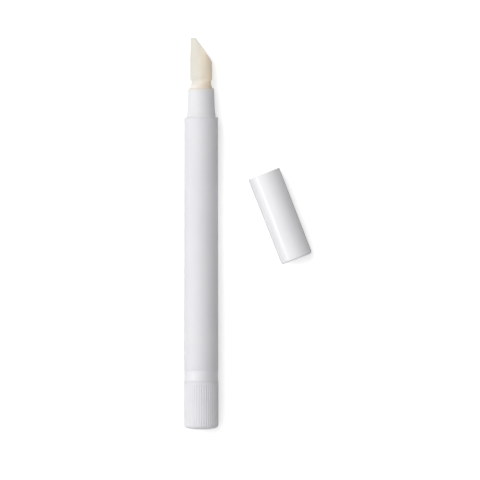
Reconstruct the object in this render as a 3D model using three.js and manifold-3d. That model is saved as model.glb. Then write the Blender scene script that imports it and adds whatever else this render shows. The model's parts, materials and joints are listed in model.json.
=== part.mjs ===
// A slim twist-up pen for cuticle scrub. It lies on its side with its cap taken off and laid beside it.
// Millimetres. The pen's axis is +Y, from the centre of the knob's end at the origin towards the soft tip.
// +Z is up. Turning the knob winds a screw forward, and the screw pushes a piston through the barrel.
import * as THREE from 'three';
import { mergeVertices } from 'three/addons/utils/BufferGeometryUtils.js';
import Module from 'manifold-3d';

const wasm = await Module();
wasm.setup();

// Clearances
const SNUG = 0.05; // radial gap of a pressed or snapped fit
const SLIP = 0.1; // radial gap of a fit that slides together by hand
const RUNNING = 0.15; // radial gap between pieces that turn or slide in use
const SEAT = 0.05; // gap along the axis where one piece stands on another
const END_PLAY = 0.3; // gap along the axis between pieces that move past each other
const SCREW_ROOM = 0.2; // radial gap round the screw inside the sleeve
const OVERCUT = 0.2; // how far a cutting shape runs past the face that it cuts

// Facets
const SIDES = 32; // round a visible piece
const INNER_SIDES = 24; // round a hidden piece
const ARC_STEPS = 2; // half the number of steps in an arc of an outline

// Pen
const PEN_OD = 11.52; // at the rear end of the barrel

// Twist knob
const KNOB_LENGTH = 16;
const KNOB_PROUD = 0.07; // how far the ribs stand out past the barrel
const KNOB_WALL = 0.95;
const KNOB_END_WALL = 1.5;
const KNOB_END_FILLET = 1.3;
const KNOB_END_DOME = 0.35; // rise of the end between its edge and its flat centre
const KNOB_END_SLOPE = 1.95; // width of the dome between its edge and its flat centre
const KNOB_RIM = 0.9; // smooth rim in front of the ribs
const RIB_COUNT = 44;
const RIB_DEPTH = 0.24;
const RIB_LAND = 0.5; // width of a rib's top as a share of the rib spacing
const SOCKET_WALL = 0.8; // round the sleeve, inside the knob
const SOCKET_DEPTH = 4.5;

// Barrel
const BARREL_DRAFT = 0.2; // how much slimmer the front end is
const BARREL_WALL = 1.08; // at the front end
const BARREL_EDGE = 0.25; // rounding of both outer edges
const NUT_STEP = 0.25; // ledge in the bore that stops the nut

// Drive housing, whose band shows between barrel and knob
const BAND_INSET = 0.08; // how far the band lies below the barrel's surface
const BAND_LENGTH = 3.45;
const BAND_EDGE = 0.2;
const HOUSING_WALL = 1;
const JOURNAL_GAP = 0.65; // behind the journal that the knob turns on, to the socket inside the knob
const JOURNAL_WALL = 0.6;
const SNAP_HEIGHT = 0.2; // bead that keeps the knob on
const SNAP_WIDTH = 1;
const SNAP_SETBACK = 2.2; // from the journal's end to the middle of the bead
const LIP_LENGTH = 1.2; // ledge that stops the sleeve's flange

// Click ratchet
const TOOTH_COUNT = 12;
const TOOTH_HEIGHT = 0.35;
const PAWL_COUNT = 2;
const PAWL_ARM = 0.32; // thickness of the sprung arm
const PAWL_REACH = 95; // degrees from the arm's root to its tip
const PAWL_ROOT = 22; // degrees of arm that stand on the ring
const PAWL_NIB = 11; // degrees that the nib takes up at the arm's tip
const PAWL_BACKLASH = 2; // degrees from the nib to the tooth behind it
const PAWL_LENGTH = 1.9; // along the axis
const CLICK_HUB_LENGTH = 1.3;
const CLICK_HUB_WALL = 0.5;

// Screw and drive sleeve
const STROKE = 36; // of the piston
const SCREW_FLAT_DEPTH = 0.6; // of each of its two flats
const SCREW_TAIL_GAP = 0.9; // behind the screw, inside the knob
const SCREW_NECK_INSET = 0.9; // how much slimmer its neck is all round
const SCREW_NECK_LENGTH = 1.5;
const SCREW_HEAD_INSET = 0.4; // how much slimmer its head is all round
const SCREW_HEAD_LENGTH = 1.6;
const SCREW_HEAD_SLOPE = 0.8; // how much the head narrows to its front
const SCREW_CHAMFER = 0.3; // at the tail
const SLEEVE_WALL = 0.6;
const SPLINE_COUNT = 4;
const SPLINE_HEIGHT = 0.2;
const SPLINE_WIDTH = 1;
const FLANGE_LENGTH = 0.6;
const KEY_LENGTH = 5; // of the flats inside the sleeve
const KEY_HOLD = 2.8; // that still holds the screw at the end of its stroke

// Screw nut
const NUT_THREAD_LENGTH = 6;
const NUT_BEARING_DEPTH = 2; // recess in which the sleeve's front end turns
const LUG_LENGTH = 1.6; // lugs that keep the nut from turning in the housing
const LUG_ANGLE = 40; // degrees
const LUG_PLAY = 4; // degrees that a lug's slot is wider
const LUG_COUNT = 2;

// Piston
const PISTON_LENGTH = 8;
const PISTON_LIP = 1.1; // length of each sealing lip
const PISTON_WAIST = 0.35; // how far the piston draws in between its lips
const PISTON_SKIRT_WALL = 0.7;
const PISTON_SKIRT_DEPTH = 3.4;
const PISTON_HUB_WALL = 0.75; // round the screw's head
const PISTON_HUB_SETBACK = 0.8; // of the hub behind the rear lip
const PISTON_NOSE = 1.6; // height of the blunt cone in front
const PISTON_NOSE_SLOPE = 2.91; // width of that cone

// Neck collar
const COLLAR_LENGTH = 9.65; // in front of the barrel
const COLLAR_DRAFT = 0.26; // how much it narrows all round to the front
const COLLAR_RIM_WALL = 0.66;
const COLLAR_RIM_ROUND = 0.45;
const RING_LEDGE = 0.275; // width of the ring's seat on the barrel's end
const RING_STEP = 0.215; // how far the ring that the cap grips stands out from the collar
const RING_LENGTH = 1.45;
const RING_FLARE = 0.5; // length of the slope from ring to collar
const PLUG_LENGTH = 11.8; // inside the barrel
const PLUG_BEADS = [3, 7.5]; // from the rear end
const PLUG_BEAD_WIDTH = 1.2;
const PLUG_WALL = 0.71; // at its rear end
const FUNNEL_LENGTH = 6;
const WEB_LENGTH = 2.7; // between funnel and tip socket

// Feed tube
const FEED_OD = 3.2;
const FEED_BORE = 1.6;
const FEED_FLANGE_LENGTH = 1.1;
const FEED_NIPPLE = 2.4; // length behind its flange
const FEED_REACH = 4.4; // past the collar's mouth
const FEED_LEAD = 0.3; // chamfer of its front end

// Applicator tip
const TIP_PROUD = 0.105; // how far its body stands out past its root
const TIP_TAPER = 0.225; // how much it narrows all round to the apex
const TIP_LENGTH = 16.9; // in front of the collar
const TIP_WAIST_DEPTH = 0.48; // how far the waist draws in from the body
const TIP_FLARE_LENGTH = 1.75; // from the collar to the waist
const TIP_WAIST_LENGTH = 0.5;
const TIP_SHOULDER_LENGTH = 1; // from the waist out to the body
const TIP_APEX_ROUND = 0.7;
const TIP_APEX_WIDTH = 1.75; // of the blunt end that the slant leaves
const TIP_SLANT = 34.2; // degrees between the cut and the axis
const TIP_OUTLET = 1.2;
const TIP_BEAD_HEIGHT = 0.3; // holds the tip in the collar
const TIP_BEAD_LENGTH = 1;
const TIP_BEAD_SETBACK = 5; // from the collar's mouth to the middle of the bead

// Cap
const CAP_NOSE_ROOM = 2.65; // in front of the soft tip when the cap is on
const CAP_INSET = 0.02; // how far it lies below the barrel's surface when it is on
const CAP_DRAFT = 0.14; // how much it narrows all round to its closed end
const CAP_END_WALL = 1.3;
const CAP_END_FILLET = 0.8;
const CAP_LIP_ROUND = 0.15;
const CAP_TIP_ROOM = 0.6; // radial gap round the soft tip
const CAP_CENTRE = [26.4, 71]; // where its middle lies beside the pen
const CAP_TURN = 21.3; // degrees, its mouth leaning towards the pen

// Stations along the axis
const bandRear = KNOB_LENGTH + END_PLAY / 2;
const bandFront = bandRear + BAND_LENGTH;
const barrelRear = bandFront + SEAT;
const lipFront = bandFront - SEAT;
const lipRear = lipFront - LIP_LENGTH;
const flangeFront = lipRear - SLIP;
const flangeRear = flangeFront - FLANGE_LENGTH;
const clickFront = flangeRear - SLIP;
const clickHubRear = clickFront - CLICK_HUB_LENGTH;
const pawlRear = clickHubRear - PAWL_LENGTH;
const sleeveRear = KNOB_END_WALL + SEAT;
const socketFront = KNOB_END_WALL + SOCKET_DEPTH;
const journalRear = socketFront + JOURNAL_GAP;
const screwTail = KNOB_END_WALL + SCREW_TAIL_GAP;
const sleeveFront = screwTail + STROKE + KEY_HOLD;
const nutFloor = sleeveFront + END_PLAY;
const nutRear = nutFloor - NUT_BEARING_DEPTH;
const nutFront = nutFloor + NUT_THREAD_LENGTH;
const housingFront = nutRear - SEAT;
const ledge = nutFront + SEAT;
const pistonRear = ledge + END_PLAY;
const pistonFront = pistonRear + PISTON_LENGTH;
const plugRear = pistonFront + STROKE + END_PLAY;
const barrelFront = plugRear + PLUG_LENGTH - SEAT;
const collarRear = barrelFront + SEAT;
const collarFront = collarRear + COLLAR_LENGTH;
const webRear = plugRear + FUNNEL_LENGTH;
const webFront = webRear + WEB_LENGTH;
const feedFlangeRear = webFront + SEAT;
const feedFlangeFront = feedFlangeRear + FEED_FLANGE_LENGTH;
const feedFront = collarFront + FEED_REACH;
const tipRear = feedFlangeFront + SEAT;
const tipFront = collarFront + TIP_LENGTH;
const capLength = COLLAR_LENGTH + TIP_LENGTH + CAP_NOSE_ROOM + CAP_END_WALL;

// Radii that pieces share, from the outside in
const penRear = PEN_OD / 2;
const penFront = penRear - BARREL_DRAFT / 2;
const knob = penRear + KNOB_PROUD;
const knobBore = knob - KNOB_WALL;
const journal = knobBore - RUNNING;
const pocket = journal - JOURNAL_WALL;
const toothTip = pocket - TOOTH_HEIGHT;
const click = toothTip - RUNNING;
const sleeve = click - CLICK_HUB_WALL - SNUG;
const spline = sleeve + SPLINE_HEIGHT;
const sleeveBore = sleeve - SLEEVE_WALL;
const screw = sleeveBore - SCREW_ROOM;
const screwFlat = screw - SCREW_FLAT_DEPTH;
const screwNeck = screw - SCREW_NECK_INSET;
const screwHead = screw - SCREW_HEAD_INSET;
const reservoir = penFront - BARREL_WALL;
const counterbore = reservoir + NUT_STEP;
const spigot = counterbore - SNUG;
const spigotBore = spigot - HOUSING_WALL;
const ring = reservoir + RING_LEDGE;
const collarBase = ring - RING_STEP;
const collarTop = collarBase - COLLAR_DRAFT;
const tipSocket = collarTop - COLLAR_RIM_WALL;
const tipRoot = tipSocket - SLIP;
const tipBody = tipRoot + TIP_PROUD;
const tipBore = FEED_OD / 2 + SLIP;
const feedPassage = FEED_OD / 2 + RUNNING;
const capMouth = penFront - CAP_INSET;
const lowest = knob * Math.cos(Math.PI / RIB_COUNT); // of the pen's underside, below its axis

const radians = THREE.MathUtils.degToRad;

// A point of a cross-section at a radius and an angle. The angle grows the way the knob turns.
function polar(radius, angle) {
  return new THREE.Vector2(radius * Math.sin(angle), -radius * Math.cos(angle));
}

function manifoldOf(vertProperties, triVerts) {
  return new wasm.Manifold(new wasm.Mesh({ numProp: 3, vertProperties, triVerts }));
}

// Turns a three.js geometry into a closed solid with its faces outwards.
function solid(geometry) {
  const bare = geometry.clone();
  bare.deleteAttribute('normal');
  bare.deleteAttribute('uv');
  const welded = mergeVertices(bare, 1e-5);
  const corners = welded.index.array;
  const kept = [];
  for (let i = 0; i < corners.length; i += 3) {
    const [a, b, c] = corners.slice(i, i + 3);
    if (a !== b && b !== c && c !== a) kept.push(a, b, c);
  }
  const vertices = new Float32Array(welded.attributes.position.array);
  const made = manifoldOf(vertices, new Uint32Array(kept));
  return made.volume() > 0 ? made : manifoldOf(vertices, new Uint32Array(kept.reverse()));
}

// Spins an outline of radius and station round the pen's axis, with a flat facet underneath.
function revolve(outline, sides = INNER_SIDES) {
  return solid(new THREE.LatheGeometry(outline.getPoints(ARC_STEPS), sides, Math.PI / sides));
}

// An outline that starts at the first corner and runs through the others.
function corners(...points) {
  const path = new THREE.Path();
  path.moveTo(...points[0]);
  for (const point of points.slice(1)) path.lineTo(...point);
  return path;
}

function tube(outer, inner, rear, front, sides = INNER_SIDES) {
  return revolve(
    corners([inner, rear], [outer, rear], [outer, front], [inner, front], [inner, rear]),
    sides,
  );
}

// Extrudes a cross-section along the axis.
function prism(shape, rear, front) {
  const geometry = new THREE.ExtrudeGeometry(shape, { depth: front - rear, bevelEnabled: false });
  geometry.rotateX(-Math.PI / 2);
  geometry.translate(0, rear, 0);
  return solid(geometry);
}

function circle(radius, sides = INNER_SIDES) {
  const ring = [];
  for (let i = 0; i < sides; i += 1) ring.push(polar(radius, ((i + 0.5) * 2 * Math.PI) / sides));
  return ring;
}

// A block of a ring between two radii, centred on an angle.
function sector(inner, outer, middle, spread, steps = 4) {
  const points = [];
  for (let i = 0; i <= steps; i += 1) points.push(polar(outer, middle + (i / steps - 0.5) * spread));
  for (let i = steps; i >= 0; i -= 1) points.push(polar(inner, middle + (i / steps - 0.5) * spread));
  return new THREE.Shape(points);
}

function box(width, length, height, x, y, z) {
  const geometry = new THREE.BoxGeometry(width, length, height);
  geometry.translate(x, y, z);
  return solid(geometry);
}

// Straight splines that stand round a shaft, or the slots for them.
function splines(radius, width, rear, front) {
  let all = null;
  for (let i = 0; i < SPLINE_COUNT; i += 1) {
    const bar = new THREE.BoxGeometry(width, front - rear, radius);
    bar.translate(0, (rear + front) / 2, radius / 2);
    bar.rotateY((i * 2 * Math.PI) / SPLINE_COUNT);
    all = all ? all.add(solid(bar)) : solid(bar);
  }
  return all;
}

// A hollow round the screw's section: a circle with two flats.
function flatted(radius, flat) {
  const reach = Math.asin(flat / radius);
  const steps = 8;
  const points = [];
  for (const side of [Math.PI / 2, -Math.PI / 2]) {
    for (let i = 0; i <= steps; i += 1) points.push(polar(radius, side + reach * ((2 * i) / steps - 1)));
  }
  return points;
}

// Ribbed outer wall, thin smooth rim, rounded end, and inside it the socket that turns the sleeve.
function twistKnob() {
  const endEdge = knob - KNOB_END_FILLET;
  const filletCentre = KNOB_END_FILLET + KNOB_END_DOME;
  const snapMiddle = journalRear + SNAP_SETBACK;
  const groove = journal + SNAP_HEIGHT + RUNNING;
  const grooveHalf = SNAP_WIDTH / 2 + RUNNING;
  const socketBore = sleeve + SNUG;
  const socketOuter = spline + SNUG + SOCKET_WALL;
  const outside = new THREE.Path();
  outside.moveTo(0, 0);
  outside.lineTo(endEdge - KNOB_END_SLOPE, 0);
  outside.lineTo(endEdge, KNOB_END_DOME);
  outside.absarc(endEdge, filletCentre, KNOB_END_FILLET, -Math.PI / 2, 0, false);
  outside.lineTo(knob, KNOB_LENGTH - BAND_EDGE);
  outside.lineTo(knob - BAND_EDGE, KNOB_LENGTH);
  outside.lineTo(0, KNOB_LENGTH);
  const hollow = corners(
    [0, KNOB_END_WALL],
    [socketBore, KNOB_END_WALL],
    [socketBore, socketFront],
    [socketOuter, socketFront],
    [socketOuter, KNOB_END_WALL],
    [knobBore, KNOB_END_WALL],
    [knobBore, snapMiddle - grooveHalf],
    [groove, snapMiddle - SNAP_WIDTH / 4],
    [groove, snapMiddle + SNAP_WIDTH / 4],
    [knobBore, snapMiddle + grooveHalf],
    [knobBore, KNOB_LENGTH + OVERCUT],
    [0, KNOB_LENGTH + OVERCUT],
  );
  const ribbed = [];
  const spacing = (2 * Math.PI) / RIB_COUNT;
  for (let i = 0; i < RIB_COUNT; i += 1) {
    const middle = i * spacing;
    ribbed.push(polar(knob + OVERCUT, middle - (spacing * RIB_LAND) / 2));
    ribbed.push(polar(knob + OVERCUT, middle + (spacing * RIB_LAND) / 2));
    ribbed.push(polar(knob - RIB_DEPTH, middle + spacing / 2));
  }
  const between = new THREE.Shape(circle(knob + 3 * OVERCUT, RIB_COUNT));
  between.holes.push(new THREE.Path(ribbed));
  const slots = splines(spline + SNUG, SPLINE_WIDTH + SLIP, KNOB_END_WALL, socketFront + SLIP);
  return revolve(outside, RIB_COUNT)
    .subtract(revolve(hollow))
    .subtract(prism(between, KNOB_END_FILLET / 2, KNOB_LENGTH - KNOB_RIM))
    .subtract(slots);
}

// Reservoir tube with a slight taper and a wider bore behind, where the mechanism goes in.
function barrel() {
  const outline = new THREE.Path();
  outline.moveTo(counterbore, barrelRear);
  outline.lineTo(penRear - BARREL_EDGE, barrelRear);
  outline.absarc(penRear - BARREL_EDGE, barrelRear + BARREL_EDGE, BARREL_EDGE, -Math.PI / 2, 0, false);
  outline.absarc(penFront - BARREL_EDGE, barrelFront - BARREL_EDGE, BARREL_EDGE, 0, Math.PI / 2, false);
  outline.lineTo(reservoir, barrelFront);
  outline.lineTo(reservoir, ledge);
  outline.lineTo(counterbore, ledge);
  outline.lineTo(counterbore, barrelRear);
  return revolve(outline, SIDES);
}

// Saw teeth inside the housing. Each rises slowly the way the knob turns and drops at once.
function ratchetTeeth() {
  const pitch = (2 * Math.PI) / TOOTH_COUNT;
  const saw = [];
  for (let i = 0; i < TOOTH_COUNT; i += 1) {
    saw.push(polar(toothTip, i * pitch));
    saw.push(polar(pocket, i * pitch));
    saw.push(polar(pocket - TOOTH_HEIGHT / 2, (i + 0.5) * pitch));
  }
  const toothed = new THREE.Shape(circle(pocket + JOURNAL_WALL / 2, SIDES));
  toothed.holes.push(new THREE.Path(saw));
  return prism(toothed, pawlRear - END_PLAY, lipRear + SLIP);
}

// Journal for the knob, visible band, and a spigot pressed into the barrel, with slots for the nut's lugs.
function driveHousing() {
  const snapMiddle = journalRear + SNAP_SETBACK;
  const snap = journal + SNAP_HEIGHT;
  const band = penRear - BAND_INSET;
  const outline = new THREE.Path();
  outline.moveTo(pocket, journalRear);
  outline.lineTo(journal - SNUG, journalRear);
  outline.lineTo(journal, snapMiddle - SNAP_WIDTH / 2);
  outline.lineTo(snap, snapMiddle - SNAP_WIDTH / 4);
  outline.lineTo(snap, snapMiddle + SNAP_WIDTH / 4);
  outline.lineTo(journal, snapMiddle + SNAP_WIDTH / 2);
  outline.lineTo(journal, bandRear);
  outline.lineTo(band - BAND_EDGE, bandRear);
  outline.absarc(band - BAND_EDGE, bandRear + BAND_EDGE, BAND_EDGE, -Math.PI / 2, 0, false);
  outline.absarc(band - BAND_EDGE, bandFront - BAND_EDGE, BAND_EDGE, 0, Math.PI / 2, false);
  outline.lineTo(spigot, bandFront);
  outline.lineTo(spigot, housingFront);
  outline.lineTo(spigotBore, housingFront);
  outline.lineTo(spigotBore, lipFront);
  outline.lineTo(sleeve + RUNNING, lipFront);
  outline.lineTo(sleeve + RUNNING, lipRear);
  outline.lineTo(pocket, lipRear);
  outline.lineTo(pocket, journalRear);
  let housing = revolve(outline, SIDES).add(ratchetTeeth());
  for (let i = 0; i < LUG_COUNT; i += 1) {
    const middle = (i * 2 * Math.PI) / LUG_COUNT;
    const slot = sector(spigotBore - OVERCUT, spigot + OVERCUT, middle, radians(LUG_ANGLE + LUG_PLAY));
    housing = housing.subtract(prism(slot, housingFront - LUG_LENGTH - SLIP, housingFront + SLIP));
  }
  return housing;
}

// Threaded guide: its lugs sit in the housing, and its recess carries the front end of the sleeve.
function screwNut() {
  const outer = counterbore - SLIP;
  const bore = screw + SLIP;
  const bearing = sleeve + RUNNING;
  let nut = revolve(
    corners(
      [bearing, nutRear],
      [outer, nutRear],
      [outer, nutFront - SLIP],
      [outer - SLIP, nutFront],
      [bore, nutFront],
      [bore, nutFloor],
      [bearing, nutFloor],
      [bearing, nutRear],
    ),
  );
  for (let i = 0; i < LUG_COUNT; i += 1) {
    const lug = sector(spigotBore + SLIP, outer - SLIP, (i * 2 * Math.PI) / LUG_COUNT, radians(LUG_ANGLE));
    nut = nut.add(prism(lug, nutRear - LUG_LENGTH, nutRear + SLIP));
  }
  return nut;
}

// Tube that turns with the knob: splines behind, a flange that stops it, and a flatted bore in front.
function driveSleeve() {
  const key = new THREE.Shape(circle(sleeveBore + SLEEVE_WALL / 2));
  key.holes.push(new THREE.Path(flatted(sleeveBore, screwFlat + RUNNING)));
  const clickSeat = splines(spline, SPLINE_WIDTH, clickHubRear + SLIP, flangeRear + SLIP);
  const knobSeat = splines(spline, SPLINE_WIDTH, sleeveRear, socketFront - SEAT);
  const hollow = revolve(
    corners(
      [0, sleeveRear - OVERCUT],
      [sleeveBore, sleeveRear - OVERCUT],
      [sleeveBore, sleeveFront + OVERCUT],
      [0, sleeveFront + OVERCUT],
    ),
  );
  const outside = revolve(
    corners(
      [0, sleeveRear],
      [sleeve, sleeveRear],
      [sleeve, flangeRear],
      [click, flangeRear],
      [click, flangeFront],
      [sleeve, flangeFront],
      [sleeve, sleeveFront],
      [0, sleeveFront],
    ),
  );
  return outside
    .add(clickSeat)
    .add(knobSeat)
    .subtract(hollow)
    .add(prism(key, sleeveFront - KEY_LENGTH, sleeveFront));
}

// One sprung arm. It trails behind its root as the knob turns and ends in a nib that drops into a tooth.
function pawlShape(start) {
  const inner = sleeve + SNUG;
  const reach = radians(PAWL_REACH);
  const nib = radians(PAWL_NIB);
  const steps = 8;
  const outerEdge = [];
  const innerEdge = [];
  for (let i = 0; i <= steps; i += 1) {
    outerEdge.push(polar(click, start - (i / steps) * (reach - nib)));
  }
  outerEdge.push(polar(pocket - SLIP, start - reach));
  for (let i = steps; i >= 0; i -= 1) {
    const along = (i / steps) * reach;
    innerEdge.push(polar(along < radians(PAWL_ROOT) ? inner : click - PAWL_ARM, start - along));
  }
  return new THREE.Shape([...outerEdge, ...innerEdge]);
}

// Ring with two sprung arms beside it. The splines of the sleeve turn it.
function clickRing() {
  const bore = sleeve + SNUG;
  const backlash = radians(PAWL_BACKLASH);
  let hub = tube(click, bore, clickHubRear + SEAT, clickFront);
  for (let i = 0; i < PAWL_COUNT; i += 1) {
    const start = (i * 2 * Math.PI) / PAWL_COUNT + backlash + radians(PAWL_REACH);
    const root = sector(bore, click, start - radians(PAWL_ROOT) / 2, radians(PAWL_ROOT));
    hub = hub
      .add(prism(pawlShape(start), pawlRear, clickHubRear))
      .add(prism(root, clickHubRear - SLIP, clickHubRear + 2 * SLIP));
  }
  return hub.subtract(splines(spline + SNUG, SPLINE_WIDTH + SLIP, clickHubRear, clickFront + SLIP));
}

// Rod with two flats. Its shoulder pushes the piston and its head is snapped into the piston's hub.
function screwRod() {
  const shoulder = pistonRear + PISTON_HUB_SETBACK - SEAT;
  const headRear = shoulder + SCREW_NECK_LENGTH;
  const headFront = headRear + SCREW_HEAD_LENGTH;
  const rod = revolve(
    corners(
      [0, screwTail],
      [screw - SCREW_CHAMFER, screwTail],
      [screw, screwTail + SCREW_CHAMFER],
      [screw, shoulder],
      [screwNeck, shoulder],
      [screwNeck, headRear],
      [screwHead, headRear],
      [screwHead, headRear + SCREW_HEAD_LENGTH / 3],
      [screwHead - SCREW_HEAD_SLOPE, headFront],
      [0, headFront],
    ),
  );
  const length = shoulder - screwTail + OVERCUT;
  const middle = shoulder - length / 2;
  return rod
    .subtract(box(2 * screw, length, 2 * screw, 0, middle, screwFlat + screw))
    .subtract(box(2 * screw, length, 2 * screw, 0, middle, -screwFlat - screw));
}

// Plunger with a sealing lip at each end, a hollow skirt, and a hub for the screw's head.
function piston() {
  const lip = reservoir - SNUG;
  const waist = lip - PISTON_WAIST;
  const skirt = waist - PISTON_SKIRT_WALL;
  const neck = screwNeck + RUNNING;
  const headRoom = screwHead + RUNNING;
  const hubOuter = headRoom + PISTON_HUB_WALL;
  const hubRear = pistonRear + PISTON_HUB_SETBACK;
  const headRear = hubRear + SCREW_NECK_LENGTH - SEAT - RUNNING;
  const headFront = headRear + SCREW_HEAD_LENGTH + 2 * RUNNING + SEAT;
  const shoulder = pistonFront - PISTON_NOSE;
  return revolve(
    corners(
      [0, pistonFront],
      [waist - PISTON_NOSE_SLOPE, pistonFront],
      [waist, shoulder],
      [lip, shoulder],
      [lip, shoulder - PISTON_LIP / 2],
      [waist, shoulder - PISTON_LIP],
      [waist, pistonRear + PISTON_LIP],
      [lip, pistonRear + PISTON_LIP / 2],
      [lip, pistonRear],
      [skirt + SLIP, pistonRear],
      [skirt, pistonRear + PISTON_SKIRT_DEPTH],
      [hubOuter, pistonRear + PISTON_SKIRT_DEPTH],
      [hubOuter, hubRear],
      [neck, hubRear],
      [neck, headRear],
      [headRoom, headRear],
      [headRoom, headFront],
      [0, headFront],
    ),
  );
}

// Plug with sealing beads inside the barrel, a grip ring for the cap, and a socket for the soft tip.
function neckCollar() {
  const plug = reservoir - SLIP;
  const bead = reservoir - SNUG;
  const funnel = plug - PLUG_WALL;
  const tipGroove = tipRoot + TIP_BEAD_HEIGHT + RUNNING;
  const beadMiddle = collarFront - TIP_BEAD_SETBACK;
  const grooveHalf = TIP_BEAD_LENGTH / 2 + RUNNING;
  const outline = new THREE.Path();
  outline.moveTo(funnel, plugRear);
  outline.lineTo(plug - SLIP, plugRear);
  for (const station of PLUG_BEADS) {
    outline.lineTo(plug, plugRear + station - PLUG_BEAD_WIDTH / 2);
    outline.lineTo(bead, plugRear + station);
    outline.lineTo(plug, plugRear + station + PLUG_BEAD_WIDTH / 2);
  }
  outline.lineTo(plug, collarRear);
  outline.lineTo(ring, collarRear);
  outline.lineTo(ring, collarRear + RING_LENGTH);
  outline.lineTo(collarBase, collarRear + RING_LENGTH + RING_FLARE);
  outline.absarc(
    collarTop - COLLAR_RIM_ROUND,
    collarFront - COLLAR_RIM_ROUND,
    COLLAR_RIM_ROUND,
    0,
    Math.PI / 2,
    false,
  );
  outline.lineTo(tipSocket, collarFront);
  outline.lineTo(tipSocket, beadMiddle + grooveHalf);
  outline.lineTo(tipGroove, beadMiddle + TIP_BEAD_LENGTH / 4);
  outline.lineTo(tipGroove, beadMiddle - TIP_BEAD_LENGTH / 4);
  outline.lineTo(tipSocket, beadMiddle - grooveHalf);
  outline.lineTo(tipSocket, webFront);
  outline.lineTo(feedPassage, webFront);
  outline.lineTo(feedPassage, webRear);
  outline.lineTo(funnel, plugRear);
  return revolve(outline, SIDES);
}

// Stiff core of the soft tip, with a flange that stands on the collar's web.
function feedTube() {
  const outer = FEED_OD / 2;
  const bore = FEED_BORE / 2;
  const flange = tipSocket - RUNNING;
  return revolve(
    corners(
      [bore, feedFlangeRear - FEED_NIPPLE],
      [outer, feedFlangeRear - FEED_NIPPLE],
      [outer, feedFlangeRear],
      [flange, feedFlangeRear],
      [flange, feedFlangeFront],
      [outer, feedFlangeFront],
      [outer, feedFront - FEED_LEAD],
      [outer - FEED_LEAD, feedFront],
      [bore, feedFront],
      [bore, feedFlangeRear - FEED_NIPPLE],
    ),
  );
}

// Soft tip: a root with a retaining bead, a drawn-in waist, and a round body cut off on the slant.
function applicatorTip() {
  const top = tipBody - TIP_TAPER;
  const waist = tipBody - TIP_WAIST_DEPTH;
  const bead = tipRoot + TIP_BEAD_HEIGHT;
  const beadMiddle = collarFront - TIP_BEAD_SETBACK;
  const waistRear = collarFront + TIP_FLARE_LENGTH;
  const waistFront = waistRear + TIP_WAIST_LENGTH;
  const bodyRear = waistFront + TIP_SHOULDER_LENGTH;
  const socketFloor = feedFront + END_PLAY;
  const outlet = TIP_OUTLET / 2;
  const outline = new THREE.Path();
  outline.moveTo(tipBore, tipRear);
  outline.lineTo(tipRoot, tipRear);
  outline.lineTo(tipRoot, beadMiddle - TIP_BEAD_LENGTH / 2);
  outline.lineTo(bead, beadMiddle - TIP_BEAD_LENGTH / 4);
  outline.lineTo(bead, beadMiddle + TIP_BEAD_LENGTH / 4);
  outline.lineTo(tipRoot, beadMiddle + TIP_BEAD_LENGTH / 2);
  outline.lineTo(tipRoot, collarFront + SLIP);
  outline.quadraticCurveTo(waist, collarFront + TIP_FLARE_LENGTH / 2, waist, waistRear);
  outline.lineTo(waist, waistFront);
  outline.quadraticCurveTo(waist, bodyRear - TIP_SHOULDER_LENGTH / 4, tipBody, bodyRear);
  outline.lineTo(tipBody, (bodyRear + tipFront) / 2);
  outline.absarc(top - TIP_APEX_ROUND, tipFront - TIP_APEX_ROUND, TIP_APEX_ROUND, 0, Math.PI / 2, false);
  outline.lineTo(outlet, tipFront);
  outline.lineTo(outlet, socketFloor);
  outline.lineTo(tipBore, socketFloor - END_PLAY / 2);
  outline.lineTo(tipBore, tipRear);
  const waste = new THREE.BoxGeometry(TIP_LENGTH * 2, TIP_LENGTH * 4, TIP_LENGTH * 2);
  waste.translate(TIP_LENGTH, 0, 0);
  waste.rotateZ(radians(TIP_SLANT));
  waste.translate(TIP_APEX_WIDTH - top, tipFront, 0);
  return revolve(outline, SIDES).subtract(solid(waste));
}

// Cap in its own frame, from its closed end at the origin to its mouth. It grips the collar's ring.
function cap() {
  const end = capMouth - CAP_DRAFT;
  const ringRoom = ring + SNUG;
  const collarRoom = collarBase + SLIP;
  const tipRoom = tipBody + CAP_TIP_ROOM;
  const ringDepth = capLength - RING_LENGTH - RING_FLARE;
  const sealFront = capLength - COLLAR_LENGTH - END_PLAY;
  const sealRear = sealFront - (collarRoom - tipRoom);
  const outline = new THREE.Path();
  outline.moveTo(0, 0);
  outline.lineTo(end - CAP_END_FILLET, 0);
  outline.absarc(end - CAP_END_FILLET, CAP_END_FILLET, CAP_END_FILLET, -Math.PI / 2, 0, false);
  outline.absarc(capMouth - CAP_LIP_ROUND, capLength - CAP_LIP_ROUND, CAP_LIP_ROUND, 0, Math.PI / 2, false);
  outline.lineTo(ringRoom, capLength);
  outline.lineTo(ringRoom, ringDepth);
  outline.lineTo(collarRoom, ringDepth - (ringRoom - collarRoom));
  outline.lineTo(collarRoom, sealFront);
  outline.lineTo(tipRoom, sealRear);
  outline.lineTo(tipRoom, CAP_END_WALL);
  outline.lineTo(0, CAP_END_WALL);
  return revolve(outline, SIDES);
}

const FINISHES = {
  satinWhite: { color: 0xe9e8ec, roughness: 0.45, metalness: 0 },
  glossWhite: { color: 0xf0f0f2, roughness: 0.18, metalness: 0 },
  semiClear: { color: 0xe4e3e8, roughness: 0.25, metalness: 0 },
  softCream: { color: 0xe9dcc6, roughness: 0.5, metalness: 0 },
  innerWhite: { color: 0xf2f2ef, roughness: 0.4, metalness: 0 },
  natural: { color: 0xe6e4dc, roughness: 0.35, metalness: 0 },
};

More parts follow.
